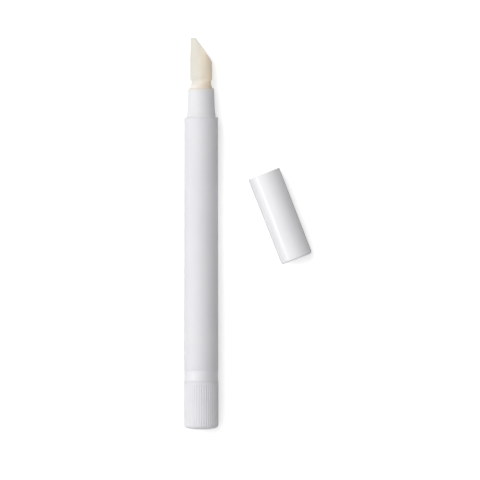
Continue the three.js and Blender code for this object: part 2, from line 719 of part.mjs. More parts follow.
function meshOf(name, shape, finish) {
  const { vertProperties, triVerts } = shape.getMesh();
  const geometry = new THREE.BufferGeometry();
  geometry.setAttribute('position', new THREE.BufferAttribute(vertProperties, 3));
  geometry.setIndex(new THREE.BufferAttribute(triVerts, 1));
  geometry.computeVertexNormals();
  const mesh = new THREE.Mesh(geometry, new THREE.MeshStandardMaterial(FINISHES[finish]));
  mesh.name = name;
  return mesh;
}

const pen = new THREE.Group();
pen.add(
  meshOf('twist_knob', twistKnob(), 'satinWhite'),
  meshOf('drive_housing', driveHousing(), 'semiClear'),
  meshOf('barrel', barrel(), 'satinWhite'),
  meshOf('neck_collar', neckCollar(), 'glossWhite'),
  meshOf('applicator_tip', applicatorTip(), 'softCream'),
  meshOf('feed_tube', feedTube(), 'natural'),
  meshOf('drive_sleeve', driveSleeve(), 'innerWhite'),
  meshOf('click_ring', clickRing(), 'natural'),
  meshOf('screw_rod', screwRod(), 'innerWhite'),
  meshOf('screw_nut', screwNut(), 'natural'),
  meshOf('piston', piston(), 'natural'),
);

// The cap lies on the same surface as the pen, its middle at its own place and its mouth turned to the pen.
const capSide = new THREE.Group();
const capBody = meshOf('cap', cap(), 'glossWhite');
capBody.position.y = -capLength / 2;
capSide.add(capBody);
capSide.rotation.z = radians(CAP_TURN);
capSide.position.set(...CAP_CENTRE, capMouth * Math.cos(Math.PI / SIDES) - lowest);

const scene = new THREE.Group();
scene.add(pen, capSide);

export default scene;
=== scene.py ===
"""Looks of a slim twist-up pen for cuticle scrub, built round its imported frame.

The pen lies on its side on a pale floor, with its cap taken off and laid beside it. The pen's axis is
+Y from the knob's end to the soft tip, and +Z is up. Lengths are millimetres in the classes, and become
the frame's metres where a mesh, a lamp or the camera is made.
"""

import functools
import json
import logging
import math
from dataclasses import dataclass, replace
from enum import Enum
from typing import Any, Callable, ClassVar, Union

import bmesh
import bpy
from mathutils import Matrix, Vector

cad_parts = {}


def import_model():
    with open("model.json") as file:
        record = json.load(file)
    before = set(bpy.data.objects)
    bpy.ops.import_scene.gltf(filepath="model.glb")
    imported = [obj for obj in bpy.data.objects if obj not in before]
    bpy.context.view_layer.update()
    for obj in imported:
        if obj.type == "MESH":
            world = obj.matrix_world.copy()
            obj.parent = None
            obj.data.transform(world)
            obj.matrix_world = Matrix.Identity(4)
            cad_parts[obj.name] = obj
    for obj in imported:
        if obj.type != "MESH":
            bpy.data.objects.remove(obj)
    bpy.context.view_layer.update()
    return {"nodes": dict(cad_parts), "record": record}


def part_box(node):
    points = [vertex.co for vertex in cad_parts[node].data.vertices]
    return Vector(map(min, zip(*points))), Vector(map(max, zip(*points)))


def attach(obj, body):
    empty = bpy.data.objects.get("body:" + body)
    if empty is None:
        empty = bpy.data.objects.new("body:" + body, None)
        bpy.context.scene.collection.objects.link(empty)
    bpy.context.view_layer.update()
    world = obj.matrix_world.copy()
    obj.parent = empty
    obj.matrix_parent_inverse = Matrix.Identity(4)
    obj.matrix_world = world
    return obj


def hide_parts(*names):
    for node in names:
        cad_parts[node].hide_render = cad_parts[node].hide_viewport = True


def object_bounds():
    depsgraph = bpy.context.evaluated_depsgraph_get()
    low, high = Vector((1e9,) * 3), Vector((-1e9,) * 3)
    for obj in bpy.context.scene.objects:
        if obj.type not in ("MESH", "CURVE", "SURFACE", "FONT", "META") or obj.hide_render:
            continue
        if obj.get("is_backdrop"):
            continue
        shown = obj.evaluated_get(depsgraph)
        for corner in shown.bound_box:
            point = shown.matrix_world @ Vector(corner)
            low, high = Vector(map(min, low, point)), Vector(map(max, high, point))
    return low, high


log = logging.getLogger("pen")

MM = 0.001  # metres
TURN = 2 * math.pi
ROUND = 192  # facets round a turned piece
WELD = 1e-4  # millimetres, between points that become one
HAIR = 1e-3  # millimetres, the least radius that a relief divides by

Point = tuple[float, float]  # radius and station
Colour = tuple[float, float, float]
Term = Union["Value", float]


class Body(Enum):
    """The frame's bodies, each of which moves as one."""

    PEN = "pen_body"
    DRIVE = "twist_drive"
    SCREW = "drive_screw"
    PLUNGER = "plunger"
    CAP = "pen_cap"


class Slot(Enum):
    """The record's material slots."""

    SATIN = "satin_white"
    GLOSS = "gloss_white"
    BAND = "semi_clear"
    SOFT = "soft_cream"
    NATURAL = "natural"
    INNER = "inner_white"


class Value:
    """A number in a node tree, so that node maths is written as Python."""

    def __init__(self, sheet: "Sheet", socket: bpy.types.NodeSocket) -> None:
        """Wraps one output socket."""
        self.sheet = sheet
        self.socket = socket

    def maths(self, operation: str, *terms: Term) -> "Value":
        """Adds a Math node for an operation on terms in the node's order, and returns its result."""
        return self.sheet.value("ShaderNodeMath", {"operation": operation}, dict(enumerate(terms)))

    def __add__(self, other: Term) -> "Value":
        """Returns self + other."""
        return self.maths("ADD", self, other)

    def __radd__(self, other: float) -> "Value":
        """Returns other + self."""
        return self.maths("ADD", other, self)

    def __sub__(self, other: Term) -> "Value":
        """Returns self - other."""
        return self.maths("SUBTRACT", self, other)

    def __rsub__(self, other: float) -> "Value":
        """Returns other - self."""
        return self.maths("SUBTRACT", other, self)

    def __mul__(self, other: Term) -> "Value":
        """Returns self * other."""
        return self.maths("MULTIPLY", self, other)

    def __rmul__(self, other: float) -> "Value":
        """Returns other * self."""
        return self.maths("MULTIPLY", other, self)

    def __truediv__(self, other: Term) -> "Value":
        """Returns self / other."""
        return self.maths("DIVIDE", self, other)

    def __rtruediv__(self, other: float) -> "Value":
        """Returns other / self."""
        return self.maths("DIVIDE", other, self)

    def __pow__(self, other: Term) -> "Value":
        """Returns self to the power of other."""
        return self.maths("POWER", self, other)

    def __abs__(self) -> "Value":
        """Returns self without its sign."""
        return self.maths("ABSOLUTE", self)

    def fraction(self) -> "Value":
        """Returns what is left of self after its whole part."""
        return self.maths("FRACT", self)

    def at_least(self, other: Term) -> "Value":
        """Returns the larger of self and other."""
        return self.maths("MAXIMUM", self, other)

    def at_most(self, other: Term) -> "Value":
        """Returns the smaller of self and other."""
        return self.maths("MINIMUM", self, other)

    def rise(self, low: Term, high: Term) -> "Value":
        """Makes a smooth step.

        Args:
            low: Where the step is 0.
            high: Where it is 1.

        Returns:
            The step's value.
        """
        settings = {"interpolation_type": "SMOOTHSTEP"}
        inputs = {"Value": self, "From Min": low, "From Max": high}
        return self.sheet.value("ShaderNodeMapRange", settings, inputs)


class Sheet:
    """A node tree that is written node by node."""

    def __init__(self, tree: bpy.types.NodeTree) -> None:
        """Starts on an empty tree."""
        self.tree = tree
        tree.nodes.clear()

    def node(
        self, kind: str, settings: dict[str, Any] | None = None, inputs: dict[Any, Any] | None = None
    ) -> bpy.types.Node:
        """Adds a node.

        Args:
            kind: The node's type.
            settings: Its own properties, which are set first.
            inputs: Values, sockets or constants by the socket's name or number.

        Returns:
            The new node.
        """
        made = self.tree.nodes.new(kind)
        for name, setting in (settings or {}).items():
            setattr(made, name, setting)
        for key, given in (inputs or {}).items():
            socket = self.socket(made.inputs, key)
            source = given.socket if isinstance(given, Value) else given
            if isinstance(source, bpy.types.NodeSocket):
                self.tree.links.new(source, socket)
            else:
                socket.default_value = source
        return made

    @staticmethod
    def socket(sockets: Any, key: Any) -> bpy.types.NodeSocket:
        """Finds a node's socket.

        Args:
            sockets: The node's inputs or outputs.
            key: The socket's number, or the name of one that is in use.

        Returns:
            The socket.
        """
        if isinstance(key, int):
            return sockets[key]
        return next(s for s in sockets if s.name == key and s.enabled)

    def value(self, kind: str, settings: dict[str, Any] | None, inputs: dict[Any, Any]) -> Value:
        """Adds a node and returns its first output as a value."""
        return Value(self, self.node(kind, settings, inputs).outputs[0])

    def axes(self, vector: bpy.types.NodeSocket) -> list[Value]:
        """Splits a vector into its three values."""
        split = self.node("ShaderNodeSeparateXYZ", None, {0: vector})
        return [Value(self, socket) for socket in split.outputs]

    def place(self, stretch: float = 1.0) -> bpy.types.NodeSocket:
        """Gives the point on the piece in millimetres.

        Args:
            stretch: How far a pattern is drawn out along the pen's axis.

        Returns:
            The vector socket for a texture.
        """
        where = self.node("ShaderNodeTexCoord")
        scale = (1 / MM, 1 / MM / stretch, 1 / MM)
        return self.node(
            "ShaderNodeMapping", None, {"Vector": where.outputs["Object"], "Scale": scale}
        ).outputs[0]

    def noise(self, size: float, detail: float = 2.0, stretch: float = 1.0) -> Value:
        """Returns a soft pattern about 0.5, of patches this many millimetres wide."""
        inputs = {"Vector": self.place(stretch), "Scale": 1 / size, "Detail": detail}
        return self.value("ShaderNodeTexNoise", None, inputs)

    def mix(self, factor: Value, first: Any, second: Any) -> bpy.types.NodeSocket:
        """Mixes two colours.

        Args:
            factor: The share of the second colour.
            first: The first colour, as a socket or a constant.
            second: The second colour.

        Returns:
            The socket of the result.
        """
        inputs = {"Factor": factor, "A": first, "B": second}
        made = self.node("ShaderNodeMix", {"data_type": "RGBA"}, inputs)
        return self.socket(made.outputs, "Result")


def opaque(colour: Colour) -> tuple[float, float, float, float]:
    """Adds full alpha to a colour."""
    return (*colour, 1.0)


@dataclass(frozen=True)
class Moulded:
    """A moulded plastic with a slow drift of tone, drawn flow lines and a fine grain.

    Attributes:
        name: The material's name.
        slot: The record's slot that it stands for.
        colour: Its main colour.
        drift: The colour that it wanders towards; on the soft tip, the painted warm shade of its right
            side.
        roughness: How dull it is.
        spread: How far the grain moves the roughness.
        grain: The width of the grain, in millimetres.
        relief: The height of the grain, in millimetres.
        depth: How far light goes into it, in millimetres.
        clarity: The share of light that goes in.
        pearl: The share of it that shines like mica.
        shine: The strength of its surface reflection, where 0.5 is plain plastic.
    """

    name: str
    slot: Slot
    colour: Colour
    drift: Colour
    roughness: float
    spread: float
    grain: float
    relief: float = 0.004
    depth: float = 0.8
    clarity: float = 0.15
    pearl: float = 0.0
    shine: float = 0.5
    glow: ClassVar[Colour] = (1.0, 0.9, 0.8)  # how far each of red, green and blue goes in
    cloud: ClassVar[float] = 14.0  # width of the clouds of tone, in millimetres
    line: ClassVar[float] = 0.5  # width of the flow lines
    line_stretch: ClassVar[float] = 60.0
    line_share: ClassVar[float] = 0.3  # of the lines in the drift of tone
    drifting: ClassVar[tuple[float, float]] = (0.3, 0.75)  # where in the pattern the drift runs
    grain_detail: ClassVar[float] = 3.0

    def tone(self, sheet: Sheet) -> bpy.types.NodeSocket:
        """Gives the colour over the surface: broad clouds and thin lines along the mould.

        Args:
            sheet: The material's nodes.

        Returns:
            The socket of the colour.
        """
        clouds = sheet.noise(self.cloud, detail=1.0)
        lines = sheet.noise(self.line, stretch=self.line_stretch)
        pattern = clouds * (1 - self.line_share) + lines * self.line_share
        factor = pattern.rise(*self.drifting)
        return sheet.mix(factor, opaque(self.colour), opaque(self.drift))

    def height(self, sheet: Sheet) -> Value:
        """Gives the grain's height over the surface, from 0 to 1."""
        return sheet.noise(self.grain, self.grain_detail)

    def mica(self, _sheet: Sheet) -> Term:
        """Gives the pearly share over the surface."""
        return self.pearl

    def material(self) -> bpy.types.Material:
        """Makes the material the first time, and finds it after that.

        Returns:
            The material.
        """
        known = bpy.data.materials.get(self.name)
        if known:
            return known
        made = bpy.data.materials.new(self.name)
        made.use_nodes = True
        sheet = Sheet(made.node_tree)
        grain = self.height(sheet)
        bump = sheet.node(
            "ShaderNodeBump", None, {"Strength": 1.0, "Distance": self.relief * MM, "Height": grain}
        )
        shader = sheet.node(
            "ShaderNodeBsdfPrincipled",
            {"subsurface_method": "BURLEY"},
            {
                "Base Color": self.tone(sheet),
                "Roughness": (grain - 0.5) * self.spread + self.roughness,
                "Normal": bump.outputs[0],
                "Subsurface Weight": self.clarity,
                "Subsurface Radius": self.glow,
                "Subsurface Scale": self.depth * MM,
                "Metallic": self.mica(sheet),
                "Specular IOR Level": self.shine,
            },
        )
        sheet.node("ShaderNodeOutputMaterial", None, {"Surface": shader.outputs[0]})
        return made


@dataclass(frozen=True)
class SoftRubber(Moulded):
    """A milky rubber with painted warm shade towards its right side, away from the lamps, and painted light
    that lifts its root next to the collar.
    """

    glow: ClassVar[Colour] = (1.0, 0.6, 0.3)
    cloud: ClassVar[float] = 2.6
    cloud_stretch: ClassVar[float] = 2.0
    cloud_push: ClassVar[float] = 3.0  # how far the clouds move the painted warm shade to the side
    shade_span: ClassVar[tuple[float, float]] = (-2.6, 3.0)  # across the tip, where the painted warm shade starts and ends
    root: ClassVar[float] = 3.2  # how far the painted light at the root reaches out of the collar
    # painted light that lifts the root on its lit side
    root_light: ClassVar[Colour] = (1.0, 0.93, 0.84)
    # painted warm shade at the root's right side, lifted with painted light
    root_shade: ClassVar[Colour] = (1.0, 0.82, 0.63)

    def tone(self, sheet: Sheet) -> bpy.types.NodeSocket:
        """Gives the colour over the surface: painted warm shade towards the right, broken by milky clouds,
        and painted light at the root.

        Args:
            sheet: The material's nodes.

        Returns:
            The socket of the colour.
        """
        across, station, _ = sheet.axes(sheet.place())
        clouds = sheet.noise(self.cloud, stretch=self.cloud_stretch) - 0.5
        mouth = span("neck_collar")[1]
        # Painted light: the root next to the collar is lifted against the shade there.
        root_light_share = 1 - station.rise(mouth, mouth + self.root)
        start, end = self.shade_span
        # Painted shade: the tone warms towards +X, the side away from the lamps.
        factor = (across + clouds * self.cloud_push).rise(start, end)
        body = sheet.mix(factor, opaque(self.colour), opaque(self.drift))
        foot = sheet.mix(factor, opaque(self.root_light), opaque(self.root_shade))
        return sheet.mix(root_light_share, body, foot)


@dataclass(frozen=True)
class PearlPlastic(Moulded):
    """A semi-clear plastic whose pearl comes up between the band's two edges."""

    fade: ClassVar[float] = 1.2  # how far from an edge the pearl is full

    def mica(self, sheet: Sheet) -> Value:
        """Gives the pearly share over the surface, which fades at the band's edges.

        Args:
            sheet: The material's nodes.

        Returns:
            The share, up to the full pearl.
        """
        _, station, _ = sheet.axes(sheet.place())
        rear, front = span("twist_knob")[1], span("barrel")[0]
        inner = station.rise(rear, rear + self.fade) * (1 - station.rise(front - self.fade, front))
        return inner * self.pearl


@dataclass(frozen=True)
class CollarPlastic(Moulded):
    """A plastic that takes on the soft tip's tone next to it."""

    blush: ClassVar[Colour] = (0.83, 0.78, 0.71)
    reach: ClassVar[float] = 1.6  # how far the tip's tone goes down the collar

    def tone(self, sheet: Sheet) -> bpy.types.NodeSocket:
        """Gives the colour over the surface, which warms towards the collar's mouth.

        Args:
            sheet: The material's nodes.

        Returns:
            The socket of the colour.
        """
        _, station, _ = sheet.axes(sheet.place())
        mouth = span("neck_collar")[1]
        factor = station.rise(mouth - self.reach, mouth)
        return sheet.mix(factor, super().tone(sheet), opaque(self.blush))


SATIN_SHELL = Moulded(
    name="satin_shell",
    slot=Slot.SATIN,
    colour=(0.785, 0.785, 0.81),
    drift=(0.76, 0.76, 0.795),
    roughness=0.42,
    spread=0.12,
    grain=0.12,
    shine=0.25,
)
SATIN_KNOB = replace(SATIN_SHELL, name="satin_knob", depth=1.2, clarity=0.2)
GLOSS_SHELL = Moulded(
    name="gloss_shell",
    slot=Slot.GLOSS,
    colour=(0.905, 0.905, 0.92),
    drift=(0.88, 0.88, 0.90),
    roughness=0.05,
    spread=0.04,
    grain=1.5,
    relief=0.001,
)
WHITE_NECK = CollarPlastic(
    name="white_neck",
    slot=Slot.GLOSS,
    colour=(0.815, 0.815, 0.83),
    drift=(0.79, 0.79, 0.81),
    roughness=0.4,
    spread=0.1,
    grain=0.2,
    relief=0.003,
    shine=0.1,
)
PEARL_BAND = PearlPlastic(
    name="pearl_band",
    slot=Slot.BAND,
    colour=(0.84, 0.84, 0.86),
    drift=(0.81, 0.81, 0.84),
    roughness=0.42,
    spread=0.08,
    grain=0.5,
    relief=0.003,
    depth=1.4,
    clarity=0.1,
    pearl=0.2,
    shine=0.1,
)
CREAM_TIP = SoftRubber(
    name="cream_tip",
    slot=Slot.SOFT,
    # colour is the tip's lit side; drift is the painted warm shade of its right side, away from the lamps
    colour=(0.735, 0.705, 0.64),
    drift=(0.97, 0.87, 0.715),
    roughness=0.5,
    spread=0.14,
    grain=0.1,
    relief=0.006,
    depth=9.0,
    clarity=0.6,
    shine=0.3,
)
NATURAL_PLASTIC = Moulded(
    name="natural_plastic",
    slot=Slot.NATURAL,
    colour=(0.74, 0.73, 0.69),
    drift=(0.70, 0.69, 0.64),
    roughness=0.35,
    spread=0.1,
    grain=0.25,
    depth=1.2,
    clarity=0.35,
)
INNER_PLASTIC = Moulded(
    name="inner_plastic",
    slot=Slot.INNER,
    colour=(0.80, 0.80, 0.78),
    drift=(0.77, 0.77, 0.75),
    roughness=0.4,
    spread=0.1,
    grain=0.2,
)


class Outline:
    """Half of a turned piece's section, drawn in millimetres as (radius, station) points."""

    def __init__(self, radius: float, station: float) -> None:
        """Starts at one point."""
        self.points: list[Point] = [(radius, station)]

    def to(self, *corners: Point) -> "Outline":
        """Draws straight lines through the corners and returns the outline."""
        self.points.extend(corners)
        return self

    def arc(self, centre: Point, size: float, start: float, end: float, steps: int = 8) -> "Outline":
        """Draws an arc.

        Args:
            centre: Its centre.
            size: Its radius.
            start: Its first angle in degrees, where 0 points away from the axis and 90 to the front.
            end: Its last angle.
            steps: How many straight pieces it has.

        Returns:
            The outline.
        """
        for step in range(steps + 1):
            angle = math.radians(start + (end - start) * step / steps)
            self.points.append(
                (centre[0] + size * math.cos(angle), centre[1] + size * math.sin(angle))
            )
        return self

    def bend(self, corner: Point, end: Point, steps: int = 8) -> "Outline":
        """Draws a curve that leaves towards a corner and arrives from it.

        Args:
            corner: The corner that the curve cuts.
            end: Its last point.
            steps: How many straight pieces it has.

        Returns:
            The outline.
        """
        first = self.points[-1]
        for step in range(1, steps + 1):
            share = step / steps
            self.points.append(
                tuple(
                    (1 - share) ** 2 * a + 2 * share * (1 - share) * b + share**2 * c
                    for a, b, c in zip(first, corner, end)
                )
            )
        return self

    def rows(self, end: Point, gap: float) -> "Outline":
        """Draws a straight line in short, even steps.

        Args:
            end: Its last point.
            gap: About how long a step is.

        Returns:
            The outline.
        """
        first = self.points[-1]
        count = max(1, round(math.dist(first, end) / gap))
        for step in range(1, count + 1):
            self.points.append(
                tuple(a + (b - a) * step / count for a, b in zip(first, end))
            )
        return self

    def section(self, _angle: float) -> list[Point]:
        """Returns the same section at every angle."""
        return self.points

    def notched(
        self, count: int, half: float, notch: Callable[[Point], Point]
    ) -> Callable[[float], list[Point]]:
        """Makes a section that changes at angles spread evenly round the axis.

        Args:
            count: How many notches there are.
            half: Half the width of a notch, in degrees.
            notch: Gives the place in a notch of each of the outline's points.

        Returns:
            The section by its angle.
        """
        inside = [notch(point) for point in self.points]
        pitch = 360 / count

        def section(angle: float) -> list[Point]:
            """Returns the section in a notch or between notches."""
            offset = (math.degrees(angle) + pitch / 2) % pitch - pitch / 2
            return inside if abs(offset) <= half else self.points

        return section


def turned(
    name: str,
    section: Callable[[float], list[Point]],
    facets: int = ROUND,
    place: Matrix = Matrix.Identity(4),
) -> bpy.types.Object:
    """Spins a section round the axis into one closed mesh with its faces outwards.

    Args:
        name: The piece's name.
        section: Gives the section's points at an angle about the axis, from straight up.
        facets: How many steps the spin has.
        place: Moves the mesh to its place in the frame.

    Returns:
        The new object, which itself sits at the origin.
    """
    shell = bmesh.new()
    rings = []
    for facet in range(facets):
        angle = TURN * facet / facets
        across = (math.sin(angle) * MM, math.cos(angle) * MM)
        rings.append(
            [
                shell.verts.new((radius * across[0], station * MM, radius * across[1]))
                for radius, station in section(angle)
            ]
        )
    for ring, following in zip(rings, rings[1:] + rings[:1]):
        for step in range(len(ring) - 1):
            shell.faces.new((ring[step], ring[step + 1], following[step + 1], following[step]))
    bmesh.ops.remove_doubles(shell, verts=shell.verts, dist=WELD * MM)
    bmesh.ops.recalc_face_normals(shell, faces=shell.faces)
    mesh = bpy.data.meshes.new(name)
    shell.to_mesh(mesh)
    shell.free()
    mesh.transform(place)
    piece = bpy.data.objects.new(name, mesh)
    bpy.context.scene.collection.objects.link(piece)
    smooth(piece)
    return piece


def smooth(piece: bpy.types.Object, crease: float = 38.0) -> None:
    """Shades a piece smoothly, except at edges that turn by more than crease degrees."""
    piece.data.shade_smooth()
    piece.data.set_sharp_from_angle(angle=math.radians(crease))


@dataclass(frozen=True)
class Relief:
    """Geometry nodes that press a repeated form into the skin of a turned piece.

    Attributes:
        name: The node tree's name.
        sizes: Its named inputs, in the frame's metres or as counts and shares.
    """

    name: str
    sizes: dict[str, float]

    def skin(self, given: dict[str, Value], radius: Value, turn: Value, station: Value) -> Value:
        """Returns a point's new distance from the axis, in the way of each kind of relief."""
        raise NotImplementedError

    def tree(self) -> bpy.types.NodeTree:
        """Builds the node tree.

        Returns:
            The tree, with the geometry, the sizes and the finish as its inputs.
        """
        tree = bpy.data.node_groups.new(self.name, "GeometryNodeTree")
        tree.interface.new_socket("Geometry", in_out="OUTPUT", socket_type="NodeSocketGeometry")
        tree.interface.new_socket("Geometry", in_out="INPUT", socket_type="NodeSocketGeometry")
        for name in self.sizes:
            tree.interface.new_socket(name, in_out="INPUT", socket_type="NodeSocketFloat")
        tree.interface.new_socket("Finish", in_out="INPUT", socket_type="NodeSocketMaterial")
        sheet = Sheet(tree)
        source = sheet.node("NodeGroupInput")
        given = {name: Value(sheet, source.outputs[name]) for name in self.sizes}
        where = sheet.node("GeometryNodeInputPosition")
        x, station, z = sheet.axes(where.outputs[0])
        radius = (x * x + z * z) ** 0.5
        turn = x.maths("ARCTAN2", x, z) / TURN
        share = self.skin(given, radius, turn, station) / radius.at_least(HAIR * MM)
        moved = sheet.node("ShaderNodeCombineXYZ", None, {0: x * share, 1: station, 2: z * share})
        pressed = sheet.node(
            "GeometryNodeSetPosition",
            None,
            {"Geometry": source.outputs["Geometry"], "Position": moved.outputs[0]},
        )
        real = sheet.node("GeometryNodeRealizeInstances", None, {"Geometry": pressed.outputs[0]})
        dressed = sheet.node(
            "GeometryNodeSetMaterial",
            None,
            {"Geometry": real.outputs[0], "Material": source.outputs["Finish"]},
        )
        sheet.node("NodeGroupOutput", None, {"Geometry": dressed.outputs[0]})
        return tree

    def press(self, piece: bpy.types.Object, finish: Moulded) -> None:
        """Runs the tree on a piece and keeps the result as its plain mesh.

        Args:
            piece: The piece, whose mesh is exchanged.
            finish: The finish that the tree sets.
        """
        modifier = piece.modifiers.new(self.name, "NODES")
        modifier.node_group = self.tree()
        for item in modifier.node_group.interface.items_tree:
            if item.name in self.sizes:
                modifier[item.identifier] = float(self.sizes[item.name])
            elif item.name == "Finish":
                modifier[item.identifier] = finish.material()
        ready = bpy.context.evaluated_depsgraph_get()
        mesh = bpy.data.meshes.new_from_object(piece.evaluated_get(ready))
        piece.modifiers.remove(modifier)
        piece.data = mesh


class Ribs(Relief):
    """Straight grooves that leave rounded ribs between them."""

    def skin(self, given: dict[str, Value], radius: Value, turn: Value, station: Value) -> Value:
        """Cuts grooves down to one depth, so that they run out on the rounded end.

        Args:
            given: The tree's inputs by name.
            radius: The point's distance from the axis.
            turn: Its angle about the axis from straight up, in turns.
            station: Its place along the axis.

        Returns:
            The new distance.
        """
        middle = 0.5 - abs((turn * given["Count"] + given["Count"]).fraction() - 0.5)
        groove = middle.rise(given["Land"] / 2, 0.5)
        ending = 1 - station.rise(given["Front"] - given["Run-out"], given["Front"])
        floor = given["Skin"] - given["Depth"] * groove * ending
        return radius.at_most(floor)


class RatchetTeeth(Relief):
    """Saw teeth inside a ring, each rising slowly the way the knob turns."""

    def skin(self, given: dict[str, Value], radius: Value, turn: Value, station: Value) -> Value:
        """Raises teeth on the ring's inner wall between two stations.

        Args:
            given: The tree's inputs by name.
            radius: The point's distance from the axis.
            turn: Its angle about the axis from straight up, in turns.
            station: Its place along the axis.

        Returns:
            The new distance.
        """
        tooth = ((turn + 1) * given["Count"]).fraction()
        inside = station.maths("GREATER_THAN", station, given["Rear"]) * station.maths(
            "LESS_THAN", station, given["Front"]
        )
        wall = station.maths("COMPARE", radius, given["Wall"], given["Height"] / 10)
        return radius - given["Height"] * tooth * inside * wall


class ScrewThread(Relief):
    """A thread cut into a rod."""

    spare: ClassVar[int] = 8  # turns that keep the helix above 0

    def groove(self, given: dict[str, Value], turn: Value, station: Value) -> Value:
        """Gives the groove's depth at a point of the helix, from 0 to 1."""
        phase = ((station / given["Lead"] - turn + self.spare) * given["Starts"]).fraction()
        return (abs(phase - 0.5) * 2).rise(given["Crest"], 1 - given["Root"])

    def skin(self, given: dict[str, Value], radius: Value, turn: Value, station: Value) -> Value:
        """Cuts the thread between two stations.

        Args:
            given: The tree's inputs by name.
            radius: The point's distance from the axis.
            turn: Its angle about the axis from straight up, in turns.
            station: Its place along the axis.

        Returns:
            The new distance.
        """
        inside = station.rise(given["Rear"], given["Rear"] + given["Lead"] / 3) * (
            1 - station.rise(given["Front"] - given["Lead"] / 3, given["Front"])
        )
        floor = given["Skin"] - given["Depth"] * self.groove(given, turn, station) * inside
        return radius.at_most(floor)


class NutThread(ScrewThread):
    """The thread inside a nut, which fills the grooves of the rod."""

    def skin(self, given: dict[str, Value], radius: Value, turn: Value, station: Value) -> Value:
        """Raises the thread on the bore, and leaves the outside as it is."""
        bore = 1 - radius.rise(given["Skin"], given["Skin"] + given["Depth"] / 4)
        return radius - given["Depth"] * self.groove(given, turn, station) * bore


@functools.cache
def span(node: str) -> tuple[float, float]:
    """Returns a node's rear and front along the pen's axis, in millimetres."""
    low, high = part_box(node)
    return low.y / MM, high.y / MM


@dataclass
class Fits:
    """The radii that pieces share, worked out from the barrel's outside inwards."""

    snug: float = 0.05  # radial gap of a pressed fit
    slip: float = 0.1  # of one that slides together by hand
    running: float = 0.15  # of pieces that turn or slide in use
    seat: float = 0.05  # gap along the axis where one piece stands on another
    knob_proud: float = 0.07
    knob_wall: float = 0.95
    journal_wall: float = 0.6
    tooth: float = 0.35
    click_wall: float = 0.5
    sleeve_wall: float = 0.6
    screw_room: float = 0.2
    barrel_draft: float = 0.1
    barrel_wall: float = 1.08
    nut_step: float = 0.25
    ring_ledge: float = 0.275
    ring_step: float = 0.215
    collar_draft: float = 0.26
    rim_wall: float = 0.66
    tip_proud: float = 0.105

    def __post_init__(self) -> None:
        """Works the radii out from the width of the frame's barrel."""
        low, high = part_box("barrel")
        self.rear = (high.x - low.x) / 2 / MM
        self.knob = self.rear + self.knob_proud  # over its ribs
        self.knob_bore = self.knob - self.knob_wall
        self.journal = self.knob_bore - self.running  # that the knob turns on
        self.pocket = self.journal - self.journal_wall  # that holds the ratchet
        self.sleeve = self.pocket - self.tooth - self.running - self.click_wall - self.snug
        self.screw = self.sleeve - self.sleeve_wall - self.screw_room  # over its thread
        self.front = self.rear - self.barrel_draft
        self.reservoir = self.front - self.barrel_wall
        self.counterbore = self.reservoir + self.nut_step  # behind the nut's ledge
        self.ring = self.reservoir + self.ring_ledge  # that the cap grips
        self.collar = self.ring - self.ring_step  # in front of that ring
        self.collar_top = self.collar - self.collar_draft  # at its mouth
        self.socket = self.collar_top - self.rim_wall  # for the soft tip
        self.tip_root = self.socket - self.slip  # inside the collar
        self.tip = self.tip_root + self.tip_proud  # its body


@functools.cache
def fits() -> Fits:
    """Returns the shared radii, which need the frame to be loaded."""
    return Fits()


class Assembly:
    """Pieces that belong together and are handed to the frame by one class."""

    def hand_over(
        self, piece: bpy.types.Object, body: Body, finish: Moulded, *nodes: str
    ) -> None:
        """Dresses a piece and gives it to the frame.

        Args:
            piece: The finished piece.
            body: The body that it rides on.
            finish: Its material.
            nodes: The nodes that it stands for.
        """
        piece.data.materials.clear()
        piece.data.materials.append(finish.material())
        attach(piece, body.value)
        if nodes:
            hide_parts(*nodes)
        log.info("%s rides on %s in %s", piece.name, body.value, finish.name)


